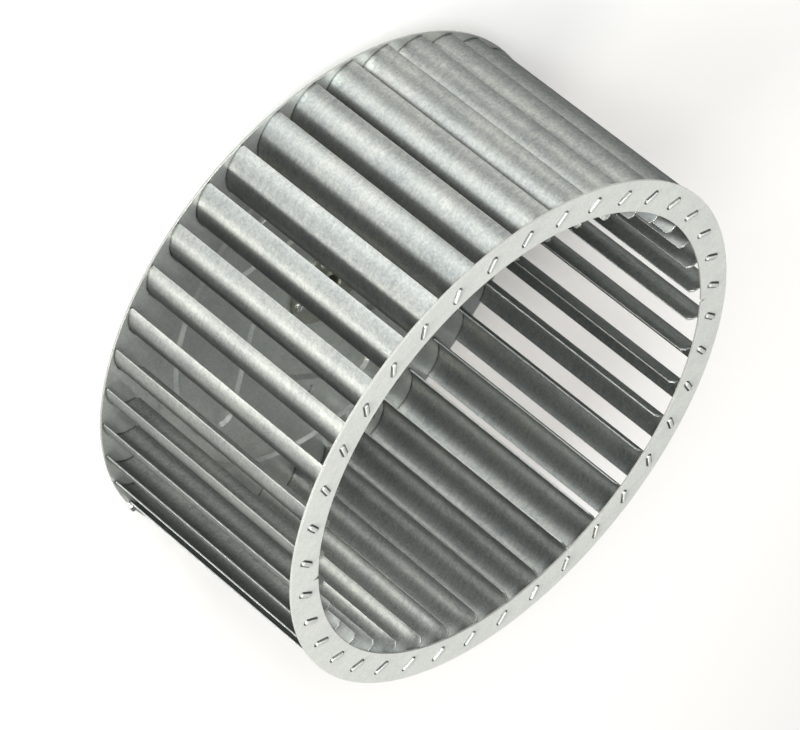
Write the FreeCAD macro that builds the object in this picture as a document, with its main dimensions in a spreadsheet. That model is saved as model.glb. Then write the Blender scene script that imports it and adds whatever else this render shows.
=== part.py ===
import FreeCAD, Part
import math
import os

import Sketcher

# Blower wheel of galvanised sheet steel: curved blades between a back plate and an inlet ring,
# turning on a hub behind the plate. Every length is in millimetres and every angle in degrees.
# The axis is Z, the inlet is at the top, and the origin is the middle of the hub's end face.

SIZES = {
    # Whole wheel
    "wheel_radius": 120.0,
    "blade_count": 38.0,
    "first_blade_angle": 216.9,
    "blade_span": 110.9,
    # Blades: a curved strip with a tab at each end, and a peened head on each tab
    "blade_thickness": 0.6,
    "blade_radius": 15.0,
    "blade_lean_angle": 38.1,
    "outer_sweep_angle": 54.4,
    "inner_sweep_angle": 48.0,
    "outer_corner": 0.8,
    "inner_corner": 1.7,
    "tab_width": 5.6,
    "head_overlap": 0.65,
    "head_corner": 0.75,
    "head_height": 0.9,
    "head_slope_angle": 25.0,
    # Slots that hold the tabs, and the pressed seat round each slot of the ring
    "slot_inset": 7.5,
    "slot_clearance": 0.15,
    "seat_clearance": 0.3,
    "seat_corner": 0.95,
    "seat_depth": 0.3,
    # Inlet ring
    "ring_width": 14.4,
    "ring_thickness": 0.9,
    "ring_notch_width": 3.0,
    "ring_notch_depth": 2.4,
    "ring_notch_angle": 147.8,
    # Back plate
    "plate_thickness": 0.8,
    "groove_radius": 84.9,
    "groove_width": 11.4,
    "groove_depth": 1.5,
    "rib_count": 5.0,
    "rib_angle": 311.3,
    "rib_offset": 42.4,
    "rib_start": 4.0,
    "rib_length": 49.0,
    "rib_width": 11.3,
    "rib_depth": 1.5,
    "plate_hole_radius": 2.0,
    "inner_hole_circle": 59.3,
    "inner_hole_angle": 49.6,
    "outer_hole_circle": 69.5,
    "outer_hole_angle": 265.3,
    # Hub, its washer and its rivets
    "bore_radius": 6.0,
    "barrel_radius": 12.0,
    "barrel_length": 20.0,
    "barrel_chamfer": 0.8,
    "spigot_radius": 7.6,
    "spigot_clearance": 0.1,
    "lip_overhang": 0.9,
    "lip_height": 1.1,
    "washer_radius": 18.3,
    "washer_thickness": 2.0,
    "rivet_count": 4.0,
    "rivet_angle": 332.5,
    "rivet_circle": 14.9,
    "rivet_radius": 1.5,
    "rivet_clearance": 0.1,
    "rivet_head_radius": 2.4,
    "rivet_head_height": 1.1,
    # Set screw
    "screw_radius": 3.0,
    "screw_clearance": 0.1,
    "screw_inset": 0.4,
    "screw_length": 5.4,
    "screw_angle": 260.0,
    "socket_radius": 1.6,
    "socket_depth": 2.6,
    # Balance clip on the plate's rim
    "clip_angle": 355.0,
    "clip_width": 3.6,
    "clip_leg": 5.5,
    "clip_hook": 0.55,
    "clip_thickness": 1.4,
    "clip_clearance": 0.05,
}

UPWARD = FreeCAD.Vector(0, 0, 1)

# A sheet pressed at 45 degrees keeps its thickness when each bend is moved by this share of it.
BEND_SHARE = math.tan(math.radians(22.5))

doc = FreeCAD.newDocument("BlowerWheel")
sheet = doc.addObject("Spreadsheet::Sheet", "Sizes")
for row, (alias, number) in enumerate(SIZES.items(), start=1):
    sheet.set("A%d" % row, alias)
    sheet.set("B%d" % row, str(number))
    sheet.setAlias("B%d" % row, alias)
doc.recompute()


class Size:
    """A number together with the expression that works it out from the sheet."""

    def __init__(self, number, text):
        self.number = number
        self.text = text

    def __add__(self, other):
        other = as_size(other)
        return Size(self.number + other.number, "(%s + %s)" % (self.text, other.text))

    def __sub__(self, other):
        other = as_size(other)
        return Size(self.number - other.number, "(%s - %s)" % (self.text, other.text))

    def __mul__(self, other):
        other = as_size(other)
        return Size(self.number * other.number, "(%s * %s)" % (self.text, other.text))

    def __truediv__(self, other):
        other = as_size(other)
        return Size(self.number / other.number, "(%s / %s)" % (self.text, other.text))

    def __neg__(self):
        return Size(-self.number, "(0 - %s)" % self.text)


def as_size(value):
    if isinstance(value, Size):
        return value
    return Size(float(value), repr(float(value)))


def size(alias):
    """The sheet's cell of this name."""
    return Size(float(sheet.get(alias)), "Sizes.%s" % alias)


def sine(angle):
    return Size(math.sin(math.radians(angle.number)), "sin(%s)" % angle.text)


def cosine(angle):
    return Size(math.cos(math.radians(angle.number)), "cos(%s)" % angle.text)


def root(value):
    return Size(math.sqrt(value.number), "sqrt(%s)" % value.text)


def bind(feature, property_name, value):
    """Tie one property of a feature to the sheet."""
    feature.setExpression(property_name, as_size(value).text)


# Levels along the axis
zero = as_size(0)
back_level = size("barrel_length")
plate_level = back_level + size("plate_thickness")
ring_level = plate_level + size("blade_span")
ring_top = ring_level + size("ring_thickness")
slot_circle = size("wheel_radius") - size("slot_inset")

# A tab is curved, so its slot is wider than the sheet by the tab's rise and lies half a rise inwards.
# Its head overlaps the slot all round, and the ring's seat is a little larger than the head.
half_tab = size("tab_width") / 2
tab_rise = size("blade_radius") - root(size("blade_radius") * size("blade_radius") - half_tab * half_tab)
slot_length = size("tab_width") + size("slot_clearance") * 2
slot_width = size("blade_thickness") + tab_rise + size("slot_clearance") * 2
slot_middle = -tab_rise / 2
head_length = slot_length + size("head_overlap") * 2
head_width = slot_width + size("head_overlap") * 2
seat_length = head_length + size("seat_clearance") * 2
seat_width = head_width + size("seat_clearance") * 2


# Drawing and feature helpers

def new_body(label):
    body = doc.addObject("PartDesign::Body", label)
    body.Label = label
    return body


def origin_feature(body, role):
    return [item for item in body.Origin.OriginFeatures if item.Role == role][0]


def new_sketch(body, name, plane="XY_Plane", height=None, turn=None):
    """A sketch on one of the body's own planes, moved along its normal and turned in it."""
    sketch = body.newObject("Sketcher::SketchObject", name)
    sketch.AttachmentSupport = [(origin_feature(body, plane), "")]
    sketch.MapMode = "FlatFace"
    if height is not None:
        bind(sketch, "AttachmentOffset.Base.z", height)
    if turn is not None:
        bind(sketch, "AttachmentOffset.Rotation.Angle", turn)
    return sketch


def tie_points(sketch, places):
    """Hold points at distances from the sketch's origin, each worked out from the sheet.
    A place is (kind, edge, point, value), and the kind Radius has no point."""
    constraints = []
    for kind, edge, point, value in places:
        if kind == "Radius":
            constraints.append(Sketcher.Constraint(kind, edge, value.number))
        else:
            constraints.append(Sketcher.Constraint(kind, -1, 1, edge, point, value.number))
    numbers = sketch.addConstraint(constraints)
    for number, place in zip(numbers, places):
        sketch.setExpression("Constraints[%d]" % number, place[3].text)


def circle(sketch, across, along, radius):
    """A circle with its middle and its radius tied to the sheet."""
    middle = FreeCAD.Vector(across.number, along.number, 0)
    edge = sketch.addGeometry(Part.Circle(middle, UPWARD, radius.number), False)
    tie_points(sketch, [
        ("DistanceX", edge, 3, across),
        ("DistanceY", edge, 3, along),
        ("Radius", edge, None, radius),
    ])


def arc_between(start, end, radius, turn):
    """The arc from start to end that turns left if turn is 1 and right if it is -1."""
    chord = end - start
    reach = math.sqrt(radius ** 2 - chord.Length ** 2 / 4)
    side = FreeCAD.Vector(-chord.y, chord.x, 0).normalize() * turn
    middle = (start + end) / 2 + side * reach
    first, last = (start, end) if turn == 1 else (end, start)
    first_angle = math.atan2(first.y - middle.y, first.x - middle.x)
    last_angle = math.atan2(last.y - middle.y, last.x - middle.x)
    return Part.ArcOfCircle(Part.Circle(middle, UPWARD, radius), first_angle, last_angle)


def outline(sketch, corners):
    """A closed outline with its corners tied to the sheet. A corner is (across, along), or
    (across, along, radius, turn) where the edge that leaves it is an arc. Where a straight edge
    is upright or level, its two ends share one dimension."""
    count = len(corners)
    edges = []
    ends = []
    for here, corner in enumerate(corners):
        following = corners[(here + 1) % count]
        start = FreeCAD.Vector(corner[0].number, corner[1].number, 0)
        end = FreeCAD.Vector(following[0].number, following[1].number, 0)
        if len(corner) == 2:
            edges.append(Part.LineSegment(start, end))
            ends.append((1, 2))
        else:
            radius, turn = corner[2:]
            edges.append(arc_between(start, end, radius.number, turn))
            ends.append((1, 2) if turn == 1 else (2, 1))
    numbers = sketch.addGeometry(edges, False)
    relations = []
    places = []
    for here, corner in enumerate(corners):
        following = (here + 1) % count
        before = corners[here - 1]
        relations.append(Sketcher.Constraint(
            "Coincident", numbers[here], ends[here][1], numbers[following], ends[following][0]))
        for kind, level, way in (("DistanceX", "Vertical", 0), ("DistanceY", "Horizontal", 1)):
            if len(before) == 2 and before[way].text == corner[way].text:
                relations.append(Sketcher.Constraint(level, numbers[here - 1]))
            else:
                places.append((kind, numbers[here], ends[here][0], corner[way]))
        if len(corner) > 2:
            places.append(("Radius", numbers[here], None, corner[2]))
    sketch.addConstraint(relations)
    tie_points(sketch, places)


def rectangle(sketch, length, width, along):
    """A rectangle with its long side along the sketch's first axis."""
    half_length = length / 2
    half_width = width / 2
    outline(sketch, [
        (-half_length, along - half_width),
        (half_length, along - half_width),
        (half_length, along + half_width),
        (-half_length, along + half_width),
    ])


def cornered(sketch, length, width, corner, along):
    """The same with its four corners cut."""
    half_length = length / 2
    half_width = width / 2
    outline(sketch, [
        (-half_length, along - half_width + corner),
        (corner - half_length, along - half_width),
        (half_length - corner, along - half_width),
        (half_length, along - half_width + corner),
        (half_length, along + half_width - corner),
        (half_length - corner, along + half_width),
        (corner - half_length, along + half_width),
        (-half_length, along + half_width - corner),
    ])


def round_slot(sketch, length, width, across, along):
    """A slot with round ends, its long side along the sketch's first axis."""
    radius = width / 2
    left = across - length / 2 + radius
    right = across + length / 2 - radius
    lower = (along - radius).number
    upper = (along + radius).number
    quarter = math.pi / 2
    middles = [FreeCAD.Vector(place.number, along.number, 0) for place in (right, left)]
    numbers = sketch.addGeometry([
        Part.LineSegment(FreeCAD.Vector(left.number, lower, 0), FreeCAD.Vector(right.number, lower, 0)),
        Part.ArcOfCircle(Part.Circle(middles[0], UPWARD, radius.number), -quarter, quarter),
        Part.LineSegment(FreeCAD.Vector(right.number, upper, 0), FreeCAD.Vector(left.number, upper, 0)),
        Part.ArcOfCircle(Part.Circle(middles[1], UPWARD, radius.number), quarter, 3 * quarter),
    ], False)
    joints = [Sketcher.Constraint("Tangent", numbers[here], 2, numbers[(here + 1) % 4], 1)
              for here in range(4)]
    sketch.addConstraint(joints + [Sketcher.Constraint("Horizontal", numbers[0])])
    tie_points(sketch, [
        ("DistanceX", numbers[1], 3, right),
        ("DistanceY", numbers[1], 3, along),
        ("DistanceX", numbers[3], 3, left),
        ("Radius", numbers[1], None, radius),
    ])


def pad(body, name, sketch, length, slope=None, down=False):
    feature = body.newObject("PartDesign::Pad", name)
    feature.Profile = sketch
    feature.Reversed = down
    bind(feature, "Length", length)
    if slope is not None:
        bind(feature, "TaperAngle", -slope)
    return feature


def pocket(body, name, sketch, depth=None, slope=None):
    """A cut to a depth below the sketch, or on both sides of it right through the body."""
    feature = body.newObject("PartDesign::Pocket", name)
    feature.Profile = sketch
    if depth is None:
        feature.Type = "ThroughAll"
        feature.SideType = "Symmetric"
    else:
        bind(feature, "Length", depth)
    if slope is not None:
        bind(feature, "TaperAngle", -slope)
    return feature


def revolve(body, name, sketch):
    feature = body.newObject("PartDesign::Revolution", name)
    feature.Profile = sketch
    feature.ReferenceAxis = (origin_feature(body, "Z_Axis"), [""])
    feature.Angle = 360
    return feature


def repeat_round(body, name, originals, count):
    """The same features again at equal steps round the body's Z axis."""
    pattern = body.newObject("PartDesign::PolarPattern", name)
    pattern.Originals = originals
    pattern.Axis = (origin_feature(body, "Z_Axis"), [""])
    pattern.Angle = 360
    bind(pattern, "Occurrences", count)
    body.Tip = pattern
    return pattern


def tab_sketch(body, name, height):
    """A sketch round the first tab, its first axis along the tab."""
    sketch = new_sketch(body, name, height=height)
    bind(sketch, "AttachmentOffset.Base.x", slot_circle * cosine(size("first_blade_angle")))
    bind(sketch, "AttachmentOffset.Base.y", slot_circle * sine(size("first_blade_angle")))
    bind(sketch, "AttachmentOffset.Rotation.Angle", size("first_blade_angle") - size("blade_lean_angle"))
    return sketch


def tab_slot(body, height):
    """The slot that takes the first blade's tab."""
    sketch = tab_sketch(body, body.Label + "_slot_outline", height)
    rectangle(sketch, slot_length, slot_width, slot_middle)
    return pocket(body, body.Label + "_slot", sketch)


# Blades

def blade_arc_point(offset, sweep, side):
    """A point of the blade's section: offset from its middle line, swept from the tab to one side."""
    radius = size("blade_radius") + offset
    across = radius * sine(sweep) * side
    along = radius * cosine(sweep) - size("blade_radius")
    return across, along


def strip_section(sketch):
    """The blade's curve, swept each way from the tab's middle."""
    outer_sweep = size("outer_sweep_angle")
    inner_sweep = size("inner_sweep_angle")
    half = size("blade_thickness") / 2
    outer_radius = size("blade_radius") + half
    inner_radius = size("blade_radius") - half
    outline(sketch, [
        blade_arc_point(-half, inner_sweep, -1) + (inner_radius, -1),
        blade_arc_point(-half, outer_sweep, 1),
        blade_arc_point(half, outer_sweep, 1) + (outer_radius, 1),
        blade_arc_point(half, inner_sweep, -1),
    ])


def corner_cut(sketch, side):
    """The waste beside the tab at the ring's end, with the strip's cut corner. Side is 1 towards the
    rim and -1 inwards."""
    sweep = size("outer_sweep_angle") if side == 1 else size("inner_sweep_angle")
    corner = size("outer_corner") if side == 1 else size("inner_corner")
    shoulder = size("blade_span") / 2
    beyond = shoulder + size("ring_thickness") + size("plate_thickness")
    edge = (size("blade_radius") + size("blade_thickness") / 2) * sine(sweep) * side
    outside = edge + side
    corner_level = shoulder - corner
    outline(sketch, [
        (half_tab * side, beyond),
        (half_tab * side, shoulder),
        (edge - corner * side, shoulder),
        (edge, corner_level),
        (outside, corner_level),
        (outside, beyond),
    ])


def blade_angle(index):
    """The tab's place round the wheel, counted clockwise as seen from the inlet."""
    return size("first_blade_angle") - as_size(360 * (index - 1)) / size("blade_count")


def build_blade(index):
    """One blade, with its own origin in the middle of the tab and halfway along the span."""
    label = "blade_%02d" % index
    body = new_body(label)
    angle = blade_angle(index)
    bind(body, "Placement.Base.x", slot_circle * cosine(angle))
    bind(body, "Placement.Base.y", slot_circle * sine(angle))
    middle = plate_level + size("blade_span") / 2
    bind(body, "Placement.Base.z", middle)
    bind(body, "Placement.Rotation.Angle", angle - size("blade_lean_angle"))

    plate_end = back_level - middle
    ring_end = ring_top - size("seat_depth") - middle
    section = new_sketch(body, label + "_section", height=plate_end)
    strip_section(section)
    pad(body, label + "_strip", section, ring_end - plate_end)

    waste = new_sketch(body, label + "_waste", plane="XZ_Plane")
    corner_cut(waste, 1)
    corner_cut(waste, -1)
    blank = pocket(body, label + "_blank", waste)
    mirror = body.newObject("PartDesign::Mirrored", label + "_other_end")
    mirror.Originals = [blank]
    mirror.MirrorPlane = (origin_feature(body, "XY_Plane"), [""])
    body.Tip = mirror

    height = size("head_height")
    slope = size("head_slope_angle")
    ring_head = new_sketch(body, label + "_ring_head_outline", height=ring_end)
    cornered(ring_head, head_length, head_width, size("head_corner"), slot_middle)
    pad(body, label + "_ring_head", ring_head, height, slope=slope)
    plate_head = new_sketch(body, label + "_plate_head_outline", height=plate_end)
    rectangle(plate_head, head_length, head_width, slot_middle)
    pad(body, label + "_plate_head", plate_head, height, slope=slope, down=True)
    return body


# Inlet ring

def build_inlet_ring():
    body = new_body("inlet_ring")
    inner_radius = size("wheel_radius") - size("ring_width")
    face = new_sketch(body, "ring_outline", height=ring_level)
    circle(face, zero, zero, size("wheel_radius"))
    circle(face, zero, zero, inner_radius)
    pad(body, "ring_blank", face, size("ring_thickness"))

    notch = new_sketch(body, "ring_notch_outline", height=ring_level, turn=size("ring_notch_angle"))
    half = size("ring_notch_width") / 2
    outline(notch, [
        (inner_radius - 1, -half),
        (inner_radius + size("ring_notch_depth"), zero),
        (inner_radius - 1, half),
    ])
    cut = pocket(body, "ring_notch", notch)
    repeat_round(body, "ring_notches", [cut], 2)

    slot = tab_slot(body, ring_top)
    outside = tab_sketch(body, "ring_seat_outline", ring_top)
    cornered(outside, seat_length, seat_width, size("seat_corner"), slot_middle)
    seat = pocket(body, "ring_seat", outside, size("seat_depth"))
    repeat_round(body, "ring_slots", [slot, seat], size("blade_count"))
    return body


# Back plate

def build_back_plate():
    body = new_body("back_plate")
    rim = size("wheel_radius")
    hole = size("spigot_radius") + size("spigot_clearance")
    depth = size("groove_depth")
    shift = size("plate_thickness") * BEND_SHARE
    inner_side = size("groove_radius") - size("groove_width") / 2
    outer_side = size("groove_radius") + size("groove_width") / 2
    profile = new_sketch(body, "plate_profile", plane="XZ_Plane")
    outline(profile, [
        (hole, plate_level),
        (hole, back_level),
        (inner_side - shift, back_level),
        (inner_side + depth - shift, back_level - depth),
        (outer_side - depth + shift, back_level - depth),
        (outer_side + shift, back_level),
        (rim, back_level),
        (rim, plate_level),
        (outer_side, plate_level),
        (outer_side - depth, plate_level - depth),
        (inner_side + depth, plate_level - depth),
        (inner_side, plate_level),
    ])
    revolve(body, "plate_blank", profile)

    # Pressed ribs, each along a chord and hollow on the inlet side
    along = size("rib_start") + size("rib_length") / 2
    length = size("rib_length") + size("rib_width")
    turn = size("rib_angle") + 90
    back = new_sketch(body, "rib_back_outline", height=back_level, turn=turn)
    round_slot(back, length + shift * 2, size("rib_width") + shift * 2, along, -size("rib_offset"))
    raised = pad(body, "rib_back", back, size("rib_depth"), slope=as_size(45), down=True)
    front = new_sketch(body, "rib_front_outline", height=plate_level, turn=turn)
    round_slot(front, length, size("rib_width"), along, -size("rib_offset"))
    sunk = pocket(body, "rib_front", front, size("rib_depth"), slope=as_size(45))
    repeat_round(body, "ribs", [raised, sunk], size("rib_count"))

    for place in ("inner_hole", "outer_hole"):
        hole = new_sketch(body, place + "_outline", height=plate_level, turn=size(place + "_angle"))
        circle(hole, size(place + "_circle"), zero, size("plate_hole_radius"))
        pocket(body, place, hole)
    cut_rivet_holes(body, plate_level)
    repeat_round(body, "plate_slots", [tab_slot(body, plate_level)], size("blade_count"))
    return body


# Hub group

def cut_rivet_holes(body, height):
    sketch = new_sketch(body, body.Label + "_rivet_outline", height=height, turn=size("rivet_angle"))
    circle(sketch, size("rivet_circle"), zero, size("rivet_radius") + size("rivet_clearance"))
    cut = pocket(body, body.Label + "_rivet_hole", sketch)
    repeat_round(body, body.Label + "_rivet_holes", [cut], size("rivet_count"))


washer_level = plate_level + size("washer_thickness")
screw_level = size("barrel_length") / 2


def build_hub():
    """A turned barrel whose spigot goes through plate and washer and is swaged over as a lip."""
    body = new_body("hub")
    bore = size("bore_radius")
    barrel = size("barrel_radius")
    chamfer = size("barrel_chamfer")
    lip = size("spigot_radius") + size("lip_overhang")
    lip_level = washer_level + size("lip_height")
    profile = new_sketch(body, "hub_profile", plane="XZ_Plane")
    outline(profile, [
        (bore + chamfer, zero),
        (barrel - chamfer, zero),
        (barrel, chamfer),
        (barrel, back_level),
        (size("spigot_radius"), back_level),
        (size("spigot_radius"), washer_level),
        (lip, washer_level),
        (lip, lip_level - size("lip_overhang")),
        (lip - size("lip_overhang"), lip_level),
        (bore + chamfer, lip_level),
        (bore, lip_level - chamfer),
        (bore, chamfer),
    ])
    revolve(body, "hub_turning", profile)

    hole = new_sketch(body, "screw_hole_outline", plane="YZ_Plane")
    circle(hole, zero, screw_level, size("screw_radius") + size("screw_clearance"))
    cut = pocket(body, "screw_hole", hole, barrel + 1)
    cut.Reversed = True
    bind(body, "Placement.Rotation.Angle", size("screw_angle"))
    return body


def build_hub_washer():
    body = new_body("hub_washer")
    face = new_sketch(body, "washer_outline", height=plate_level)
    circle(face, zero, zero, size("washer_radius"))
    circle(face, zero, zero, size("spigot_radius") + size("spigot_clearance"))
    pad(body, "washer_blank", face, size("washer_thickness"))
    cut_rivet_holes(body, washer_level)
    return body


def build_hub_rivets():
    """Rivets through washer and plate, with bevelled heads, one node of separate solids."""
    body = new_body("hub_rivets")
    body.AllowCompound = True
    head = size("rivet_head_radius")
    height = size("rivet_head_height")
    bevel = height / 2
    profile = new_sketch(body, "rivet_profile", plane="XZ_Plane")
    bind(profile, "AttachmentOffset.Base.x", size("rivet_circle"))
    outline(profile, [
        (zero, back_level - height),
        (head, back_level - height),
        (head, back_level),
        (size("rivet_radius"), back_level),
        (size("rivet_radius"), washer_level),
        (head, washer_level),
        (head, washer_level + height - bevel),
        (head - bevel, washer_level + height),
        (zero, washer_level + height),
    ])
    rivet = revolve(body, "rivet", profile)
    rivet.ReferenceAxis = (profile, ["V_Axis"])
    repeat_round(body, "rivets", [rivet], size("rivet_count"))
    bind(body, "Placement.Rotation.Angle", size("rivet_angle"))
    return body


def build_set_screw():
    """A headless screw with a hexagon socket, in the barrel's side."""
    body = new_body("set_screw")
    outer_end = size("barrel_radius") - size("screw_inset")
    inner_end = outer_end - size("screw_length")
    radius = size("screw_radius")
    chamfer = radius / 6
    profile = new_sketch(body, "screw_profile", plane="XZ_Plane")
    bind(profile, "AttachmentOffset.Base.y", screw_level)
    outline(profile, [
        (inner_end, zero),
        (outer_end, zero),
        (outer_end, radius - chamfer),
        (outer_end - chamfer, radius),
        (inner_end, radius),
    ])
    turning = revolve(body, "screw_turning", profile)
    turning.ReferenceAxis = (profile, ["H_Axis"])

    socket = new_sketch(body, "socket_outline", plane="YZ_Plane", height=outer_end)
    corners = []
    for corner in range(6):
        angle = as_size(60 * corner)
        across = size("socket_radius") * cosine(angle)
        along = screw_level + size("socket_radius") * sine(angle)
        corners.append((across, along))
    outline(socket, corners)
    pocket(body, "socket", socket, size("socket_depth"))
    bind(body, "Placement.Rotation.Angle", size("screw_angle"))
    return body


# Balance clip

def build_balance_clip():
    """A strip folded over the plate's rim, with a short hook beside the blade's tip."""
    body = new_body("balance_clip")
    gap = size("clip_clearance")
    thickness = size("clip_thickness")
    start = size("wheel_radius") - size("clip_leg")
    hook = size("wheel_radius") - size("clip_hook")
    inside = size("wheel_radius") + gap
    outside = inside + thickness
    top_inside = plate_level + gap
    bottom_inside = back_level - gap
    section = new_sketch(body, "clip_section", plane="XZ_Plane")
    outline(section, [
        (start, bottom_inside - thickness),
        (inside, bottom_inside - thickness, thickness, 1),
        (outside, bottom_inside),
        (outside, top_inside, thickness, 1),
        (inside, top_inside + thickness),
        (hook, top_inside + thickness),
        (hook, top_inside),
        (inside, top_inside),
        (inside, bottom_inside),
        (start, bottom_inside),
    ])
    strip = pad(body, "clip_strip", section, size("clip_width"))
    strip.SideType = "Symmetric"
    bind(body, "Placement.Rotation.Angle", size("clip_angle"))
    return body


# Build, check and write

bodies = [build_blade(index + 1) for index in range(int(SIZES["blade_count"]))]
bodies += [
    build_inlet_ring(),
    build_back_plate(),
    build_hub(),
    build_hub_washer(),
    build_hub_rivets(),
    build_set_screw(),
    build_balance_clip(),
]
doc.recompute()

for item in doc.Objects:
    if "Invalid" in item.State or "Error" in item.State:
        raise RuntimeError("%s failed: %s" % (item.Label, item.State))
for body in bodies:
    if body.Shape.isNull() or not body.Shape.isValid():
        raise RuntimeError("%s has no valid shape" % body.Label)

os.makedirs("parts", exist_ok=True)
for body in bodies:
    body.Shape.exportStep("parts/%s.step" % body.Label)
    print("%-14s %d solid(s) %9.1f mm3" % (body.Label, len(body.Shape.Solids), body.Shape.Volume))
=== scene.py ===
import math

import bmesh
import bpy
from mathutils import Matrix, Vector


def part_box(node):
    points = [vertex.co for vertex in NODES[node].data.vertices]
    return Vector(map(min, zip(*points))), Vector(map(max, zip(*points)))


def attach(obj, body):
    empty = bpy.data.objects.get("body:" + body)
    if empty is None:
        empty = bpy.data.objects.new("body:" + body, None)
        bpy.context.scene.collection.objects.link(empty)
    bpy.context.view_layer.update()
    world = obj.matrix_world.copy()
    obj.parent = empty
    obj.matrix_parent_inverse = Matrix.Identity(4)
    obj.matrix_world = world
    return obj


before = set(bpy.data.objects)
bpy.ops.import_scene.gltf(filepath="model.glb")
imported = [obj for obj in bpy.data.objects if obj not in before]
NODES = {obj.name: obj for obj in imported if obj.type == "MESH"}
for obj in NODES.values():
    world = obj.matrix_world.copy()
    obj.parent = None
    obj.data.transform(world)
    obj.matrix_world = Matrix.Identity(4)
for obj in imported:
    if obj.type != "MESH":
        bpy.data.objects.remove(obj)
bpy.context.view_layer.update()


# Node helpers

def new_material(name):
    """An empty node material, its node tree and its output."""
    material = bpy.data.materials.new(name)
    material.use_nodes = True
    tree = material.node_tree
    tree.nodes.clear()
    return material, tree, tree.nodes.new("ShaderNodeOutputMaterial")


def place_texture(tree, kind, stretch=(1, 1, 1), **inputs):
    """A texture in the object's own metres, which may be stretched along an axis."""
    node = tree.nodes.new(kind)
    for name, value in inputs.items():
        node.inputs[name.replace("_", " ")].default_value = value
    coordinates = tree.nodes.new("ShaderNodeTexCoord")
    mapping = tree.nodes.new("ShaderNodeMapping")
    mapping.inputs["Scale"].default_value = stretch
    tree.links.new(coordinates.outputs["Object"], mapping.inputs["Vector"])
    tree.links.new(mapping.outputs["Vector"], node.inputs["Vector"])
    return node


def spread(tree, socket, low, high, start=0.0, end=1.0):
    """The socket's value taken from start..end to low..high."""
    node = tree.nodes.new("ShaderNodeMapRange")
    node.inputs["From Min"].default_value = start
    node.inputs["From Max"].default_value = end
    node.inputs["To Min"].default_value = low
    node.inputs["To Max"].default_value = high
    tree.links.new(socket, node.inputs["Value"])
    return node.outputs["Result"]


def combine(tree, operation, first, second):
    """A sum or another operation on two values, each of which is a number or a socket."""
    node = tree.nodes.new("ShaderNodeMath")
    node.operation = operation
    for place, value in enumerate((first, second)):
        if isinstance(value, (int, float)):
            node.inputs[place].default_value = value
        else:
            tree.links.new(value, node.inputs[place])
    return node.outputs["Value"]


def tint(tree, factor, first, second):
    """A mix of two colours, each of which is three numbers or a socket."""
    node = tree.nodes.new("ShaderNodeMix")
    node.data_type = "RGBA"
    for place, colour in (("A", first), ("B", second)):
        if isinstance(colour, tuple):
            node.inputs[place].default_value = (*colour, 1)
        else:
            tree.links.new(colour, node.inputs[place])
    tree.links.new(factor, node.inputs["Factor"])
    return node.outputs["Result"]


# Metals. Zinc sheet has fine streaks and grain and a soft cloudiness, with edges painted lighter
# as a highlight and crevices painted darker as shade.

# The colour painted on edges as a highlight.
PAINTED_EDGE_HIGHLIGHT = (0.82, 0.83, 0.8)
CUT_EDGE = (0.24, 0.24, 0.225)
# The colour painted in crevices as shade.
CREVICE_SHADE_COLOUR = (0.06, 0.063, 0.057)
BRUSHED_TINT = (0.2, 0.21, 0.22, 1)
EDGE_RADIUS = 0.0003
CREVICE_REACH = 0.0012
NODE_SAMPLES = 4
STREAK_SHARE, GRAIN_SHARE, CLOUD_SHARE = 0.3, 0.48, 0.22
ZINC_RANGE = (0.36, 0.64)  # values of the mixed noises, from dark to light
PLAIN_RANGE = (0.3, 0.7)  # values of the single noise, from dark to light
EDGE_HIGHLIGHT_RANGE = (0.85, 0.99)  # cosines of an edge's turn, from full painted highlight to none
CUT_RANGE = (0.1, 0.3)  # how level a face is, from a cut edge to the sheet's face
CREVICE_SHADE_RANGE = (0.4, 0.85)  # the open share of the surroundings, from full painted shade to none
ZINC_ROUGHER, ZINC_SMOOTHER = 0.04, 0.04
PLAIN_ROUGHER, PLAIN_SMOOTHER = 0.08, 0.06
BUMP_STRENGTH = 0.15
ZINC_BUMP_DEPTH = 0.00006
PLAIN_BUMP_DEPTH = 0.00004
STREAK_BUMP, GRAIN_BUMP = 0.7, 0.3


def zinc_noises(tree, seed, streaks):
    """The streaks and the grain, and a mix of both with a cloudiness, from 0 to 1."""
    lines = place_texture(tree, "ShaderNodeTexNoise", streaks, Scale=210.0 + seed, Detail=4.0,
                          Roughness=0.7)
    grain = place_texture(tree, "ShaderNodeTexNoise", Scale=850.0 + seed, Detail=3.0, Roughness=0.8)
    cloud = place_texture(tree, "ShaderNodeTexNoise", Scale=42.0 + seed, Detail=3.0, Roughness=0.6)
    mixed = combine(tree, "MULTIPLY", lines.outputs["Fac"], STREAK_SHARE)
    for share, node in ((GRAIN_SHARE, grain), (CLOUD_SHARE, cloud)):
        mixed = combine(tree, "ADD", mixed, combine(tree, "MULTIPLY", node.outputs["Fac"], share))
    return lines, grain, spread(tree, mixed, 0, 1, *ZINC_RANGE)


def edge_highlight_share(tree, edge_normal, surface, highlight_amount):
    """How much the zinc is painted lighter as a highlight: up to the amount given where an edge
    turns.
    """
    turned = tree.nodes.new("ShaderNodeVectorMath")
    turned.operation = "DOT_PRODUCT"
    tree.links.new(edge_normal, turned.inputs[0])
    tree.links.new(surface.outputs["Normal"], turned.inputs[1])
    return spread(tree, turned.outputs["Value"], highlight_amount, 0, *EDGE_HIGHLIGHT_RANGE)


def cut_share(tree, surface, cut_edge):
    """How bare the zinc is: up to the share given on upright cut edges."""
    parts = tree.nodes.new("ShaderNodeSeparateXYZ")
    tree.links.new(surface.outputs["Normal"], parts.inputs["Vector"])
    level = combine(tree, "ABSOLUTE", parts.outputs["Z"], 0)
    return spread(tree, level, cut_edge, 0, *CUT_RANGE)


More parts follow.
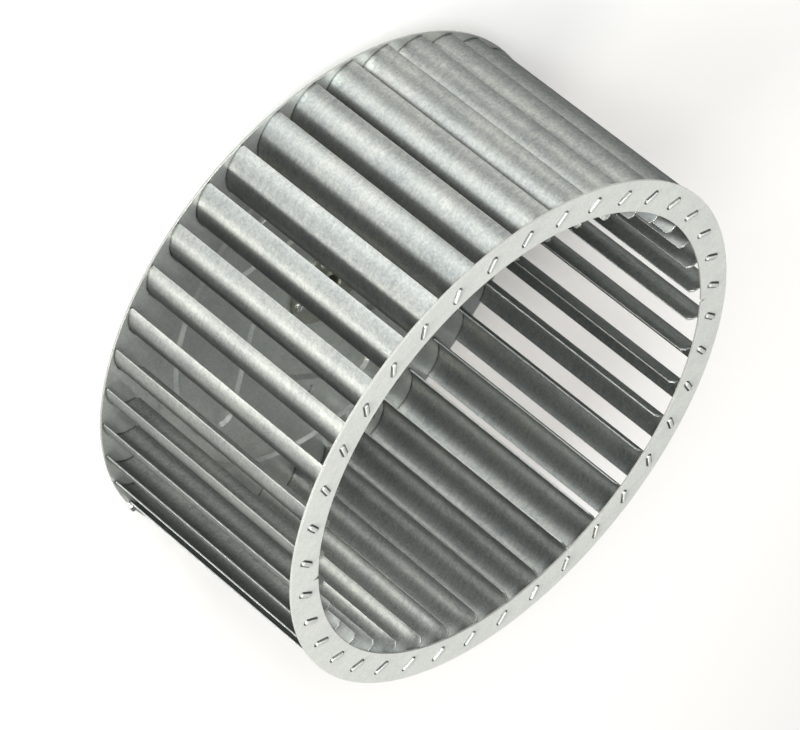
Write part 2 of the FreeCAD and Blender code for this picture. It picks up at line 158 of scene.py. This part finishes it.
def crevice_shade_factor(tree):
    """How open the surface is: low in crevices, where the colour is painted darker as shade."""
    crevice = tree.nodes.new("ShaderNodeAmbientOcclusion")
    crevice.samples = NODE_SAMPLES
    crevice.inputs["Distance"].default_value = CREVICE_REACH
    return spread(tree, crevice.outputs["AO"], 0, 1, *CREVICE_SHADE_RANGE)


def brush(tree, shader, strength):
    """Streaks across a blade, which draw its highlights out along it."""
    shader.inputs["Anisotropic"].default_value = strength
    shader.inputs["Specular Tint"].default_value = BRUSHED_TINT
    shader.inputs["Anisotropic Rotation"].default_value = 0.25
    tangent = tree.nodes.new("ShaderNodeTangent")
    tangent.direction_type = "RADIAL"
    tangent.axis = "Z"
    tree.links.new(tangent.outputs["Tangent"], shader.inputs["Tangent"])


def add_bump(tree, shader, height, depth, base=None):
    """A fine relief from the height socket, on the normals of the base socket if one is given."""
    bump = tree.nodes.new("ShaderNodeBump")
    bump.inputs["Strength"].default_value = BUMP_STRENGTH
    bump.inputs["Distance"].default_value = depth
    tree.links.new(height, bump.inputs["Height"])
    if base is not None:
        tree.links.new(base, bump.inputs["Normal"])
    tree.links.new(bump.outputs["Normal"], shader.inputs["Normal"])


def zinc(name, dark, light, metallic, rough, seed, streaks=(1, 1, 3),
         highlight_amount=0.0, cut_edge=0.0, brushed=0.0):
    """Galvanised sheet between two greys, with its shares of painted edge highlight, bare cut edge
    and brushing, and painted shade in its crevices.
    """
    material, tree, output = new_material(name)
    shader = tree.nodes.new("ShaderNodeBsdfPrincipled")
    shader.inputs["Metallic"].default_value = metallic
    tree.links.new(shader.outputs["BSDF"], output.inputs["Surface"])

    lines, grain, factor = zinc_noises(tree, seed, streaks)
    roughness = spread(tree, factor, rough + ZINC_ROUGHER, rough - ZINC_SMOOTHER)
    tree.links.new(roughness, shader.inputs["Roughness"])

    edges = tree.nodes.new("ShaderNodeBevel")
    edges.samples = NODE_SAMPLES
    edges.inputs["Radius"].default_value = EDGE_RADIUS
    surface = tree.nodes.new("ShaderNodeNewGeometry")
    colour = tint(tree, factor, dark, light)
    colour = tint(tree, cut_share(tree, surface, cut_edge), colour, CUT_EDGE)
    # Edges are painted lighter as a highlight; the rounded edge normals are real shading.
    colour = tint(tree, edge_highlight_share(tree, edges.outputs["Normal"], surface, highlight_amount), colour, PAINTED_EDGE_HIGHLIGHT)
    # Crevices are painted darker as shade.
    colour = tint(tree, crevice_shade_factor(tree), CREVICE_SHADE_COLOUR, colour)
    tree.links.new(colour, shader.inputs["Base Color"])

    height = combine(tree, "ADD", combine(tree, "MULTIPLY", lines.outputs["Fac"], STREAK_BUMP),
                     combine(tree, "MULTIPLY", grain.outputs["Fac"], GRAIN_BUMP))
    add_bump(tree, shader, height, ZINC_BUMP_DEPTH, edges.outputs["Normal"])
    if brushed:
        brush(tree, shader, brushed)
    return material


def plain_metal(name, dark, light, metallic, rough, scale):
    """A turned or plated metal with fine unevenness."""
    material, tree, output = new_material(name)
    shader = tree.nodes.new("ShaderNodeBsdfPrincipled")
    shader.inputs["Metallic"].default_value = metallic
    tree.links.new(shader.outputs["BSDF"], output.inputs["Surface"])
    noise = place_texture(tree, "ShaderNodeTexNoise", Scale=scale, Detail=4.0, Roughness=0.6)
    factor = spread(tree, noise.outputs["Fac"], 0, 1, *PLAIN_RANGE)
    tree.links.new(tint(tree, factor, dark, light), shader.inputs["Base Color"])
    roughness = spread(tree, factor, rough + PLAIN_ROUGHER, rough - PLAIN_SMOOTHER)
    tree.links.new(roughness, shader.inputs["Roughness"])
    add_bump(tree, shader, noise.outputs["Fac"], PLAIN_BUMP_DEPTH)
    return material


blade_metal = zinc("blade_zinc", (0.195, 0.217, 0.223), (0.395, 0.405, 0.376), 0.9, 0.47, 0.0,
                   highlight_amount=0.9, brushed=0.85)
sheet_metal = zinc("sheet_zinc", (0.66, 0.685, 0.665), (0.83, 0.85, 0.81), 0.4, 0.5, 7.0,
                   streaks=(1, 1, 1), cut_edge=0.85)
plate_metal = zinc("plate_zinc", (0.5, 0.525, 0.505), (0.74, 0.76, 0.73), 0.8, 0.34, 13.0,
                   streaks=(4, 1, 1), highlight_amount=0.4, cut_edge=0.7)
hub_metal = plain_metal("hub_steel", (0.34, 0.35, 0.30), (0.52, 0.53, 0.46), 0.9, 0.32, 700.0)
rivet_metal = plain_metal("rivet_zinc", (0.62, 0.64, 0.63), (0.86, 0.88, 0.87), 1.0, 0.26, 900.0)
screw_metal = plain_metal("screw_oxide", (0.015, 0.015, 0.016), (0.04, 0.04, 0.042), 0.7, 0.4,
                          900.0)
crown_metal = plain_metal("peened_zinc", (0.66, 0.68, 0.66), (0.86, 0.87, 0.85), 0.5, 0.38, 900.0)
clip_metal = plain_metal("clip_steel", (0.55, 0.56, 0.55), (0.82, 0.83, 0.82), 1.0, 0.28, 800.0)

FINISHES = {
    "inlet_ring": sheet_metal,
    "back_plate": plate_metal,
    "hub": hub_metal,
    "hub_washer": hub_metal,
    "hub_rivets": rivet_metal,
    "set_screw": screw_metal,
    "balance_clip": clip_metal,
}
for name, node in NODES.items():
    node.data.materials.clear()
    node.data.materials.append(FINISHES.get(name, blade_metal))


# Crowns of the peened heads

CROWN_ROWS = 5
CROWN_HEIGHT = 0.00025
CROWN_SINK = 0.0001
SAME_PLACE = 1e-6


def head_outline(node, top):
    """The middle and the two axes of a head's flat top, and its corners along and across them."""
    places = [v.co for v in node.data.vertices if v.co.z > top - SAME_PLACE]
    rim = {(round(place.x, 6), round(place.y, 6)) for place in places}
    rim = [Vector(place) for place in sorted(rim)]
    middle = sum(rim, Vector((0, 0))) / len(rim)
    arms = [place - middle for place in rim]
    skew = sum(arm.x * arm.y for arm in arms)
    stretch = sum(arm.x * arm.x - arm.y * arm.y for arm in arms)
    turn = math.atan2(2 * skew, stretch) / 2
    along = Vector((math.cos(turn), math.sin(turn)))
    across = Vector((-along.y, along.x))
    corners = sorted(((arm.dot(along), arm.dot(across)) for arm in arms),
                     key=lambda corner: math.atan2(corner[1], corner[0]))
    return middle, along, across, corners


def add_crown(mesh, node, top):
    """A closed crown, whose foot is sunk in the head and whose ridge runs along it."""
    middle, along, across, corners = head_outline(node, top)
    ridge = max(u for u, v in corners) - max(v for u, v in corners)
    rows = [(1.0, -CROWN_SINK)]
    for row in range(CROWN_ROWS + 1):
        turn = row / CROWN_ROWS * math.pi / 2
        rows.append((math.cos(turn), math.sin(turn) * CROWN_HEIGHT))
    loops = []
    for share, lift in rows:
        loop = []
        for u, v in corners:
            core = max(-ridge, min(ridge, u))
            place = middle + along * (core + (u - core) * share) + across * (v * share)
            loop.append(mesh.verts.new((place.x, place.y, top + lift)))
        loops.append(loop)
    mesh.faces.new(loops[0])
    for lower, upper in zip(loops, loops[1:]):
        for i in range(len(corners)):
            j = (i + 1) % len(corners)
            mesh.faces.new((lower[i], lower[j], upper[j], upper[i]))


def build_tab_crowns():
    """The low polished crowns on the flat tops of the heads on the ring."""
    mesh = bmesh.new()
    for name, node in NODES.items():
        if name.startswith("blade_"):
            add_crown(mesh, node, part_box(name)[1][2])
    bmesh.ops.remove_doubles(mesh, verts=mesh.verts, dist=SAME_PLACE)
    bmesh.ops.recalc_face_normals(mesh, faces=mesh.faces)
    for face in mesh.faces:
        face.smooth = True
    data = bpy.data.meshes.new("tab_crowns")
    mesh.to_mesh(data)
    mesh.free()
    data.materials.append(crown_metal)
    piece = bpy.data.objects.new("tab_crowns", data)
    bpy.context.scene.collection.objects.link(piece)
    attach(piece, "root")


build_tab_crowns()


# Floor

FLOOR_HALF = 30.0
FLOOR_COLOUR = (0.89, 0.89, 0.89, 1)


def build_floor():
    """A wide pale floor, which keeps soft shadows."""
    mesh = bpy.data.meshes.new("floor")
    corners = [(-FLOOR_HALF, -FLOOR_HALF, 0), (FLOOR_HALF, -FLOOR_HALF, 0),
               (FLOOR_HALF, FLOOR_HALF, 0), (-FLOOR_HALF, FLOOR_HALF, 0)]
    mesh.from_pydata(corners, [], [(0, 1, 2, 3)])
    floor = bpy.data.objects.new("floor", mesh)
    bpy.context.scene.collection.objects.link(floor)
    material, tree, output = new_material("pale_floor")
    paint = tree.nodes.new("ShaderNodeBsdfDiffuse")
    paint.inputs["Color"].default_value = FLOOR_COLOUR
    tree.links.new(paint.outputs["BSDF"], output.inputs["Surface"])
    mesh.materials.append(material)


build_floor()


# Light

WHEEL_MIDDLE = Vector((0, 0, 0.07))
SKY_COLOUR = (0.75, 0.76, 0.77, 1)
SKY_STRENGTH = 0.2


def area_light(name, azimuth, elevation, distance, width, height, power, colour=(1, 1, 1)):
    """A soft box, in metres and watts, that faces the wheel from a direction in degrees."""
    data = bpy.data.lights.new(name, "AREA")
    data.shape = "RECTANGLE"
    data.size = width
    data.size_y = height
    data.energy = power
    data.color = colour
    lamp = bpy.data.objects.new(name, data)
    bpy.context.scene.collection.objects.link(lamp)
    turn = math.radians(azimuth)
    rise = math.radians(elevation)
    way = Vector((math.cos(turn) * math.cos(rise), math.sin(turn) * math.cos(rise), math.sin(rise)))
    lamp.location = WHEEL_MIDDLE + way * distance
    lamp.rotation_euler = way.to_track_quat("Z", "Y").to_euler()


area_light("main", 268, 30, 5.0, 2.0, 1.65, 212, (1.0, 1.0, 0.99))
area_light("main_left", 255, 26, 5.0, 1.65, 1.35, 98, (1.0, 0.98, 0.94))
area_light("main_right", 285, 28, 5.0, 1.65, 1.35, 100, (0.93, 0.97, 1.0))
area_light("side", 190, 32, 2.2, 0.7, 0.7, 8, (1.0, 0.97, 0.92))
area_light("low_left", 211, 9, 1.5, 0.32, 0.4, 4, (1.0, 0.97, 0.9))
area_light("low_right", 305, 12, 1.6, 0.5, 0.4, 6)
area_light("low_far_right", 330, 14, 1.6, 0.5, 0.4, 21, (1.0, 0.97, 0.92))
area_light("inside", 20, 40, 1.8, 0.6, 0.6, 8, (1.0, 0.94, 0.82))

world = bpy.data.worlds.new("studio")
bpy.context.scene.world = world
world.use_nodes = True
sky = world.node_tree.nodes["Background"]
sky.inputs["Color"].default_value = SKY_COLOUR
sky.inputs["Strength"].default_value = SKY_STRENGTH


# Camera

CAMERA_REACH = 100
CAMERA_PLACE = (-0.027036, -1.799484, 1.057252)
CAMERA_RIGHT = Vector((-0.6196, 0.3846, 0.6842))
CAMERA_UP = Vector((-0.7848, -0.2880, -0.5488))
SENSOR_WIDTH = 36
FOCAL_LENGTH = 229.04
SHIFT = (-0.0086, -0.0117)


def build_camera():
    """The photograph's view: a long lens, rolled so that the wheel seems to stand on its rim."""
    data = bpy.data.cameras.new("camera")
    data.sensor_width = SENSOR_WIDTH
    data.lens = FOCAL_LENGTH
    data.shift_x, data.shift_y = SHIFT
    data.clip_end = CAMERA_REACH
    camera = bpy.data.objects.new("camera", data)
    bpy.context.scene.collection.objects.link(camera)
    back = CAMERA_RIGHT.cross(CAMERA_UP).normalized()
    up = back.cross(CAMERA_RIGHT).normalized()
    turn = Matrix((CAMERA_RIGHT.normalized(), up, back)).transposed()
    camera.matrix_world = Matrix.Translation(CAMERA_PLACE) @ turn.to_4x4()
    bpy.context.scene.camera = camera


build_camera()
bpy.context.scene.view_settings.view_transform = "Standard"
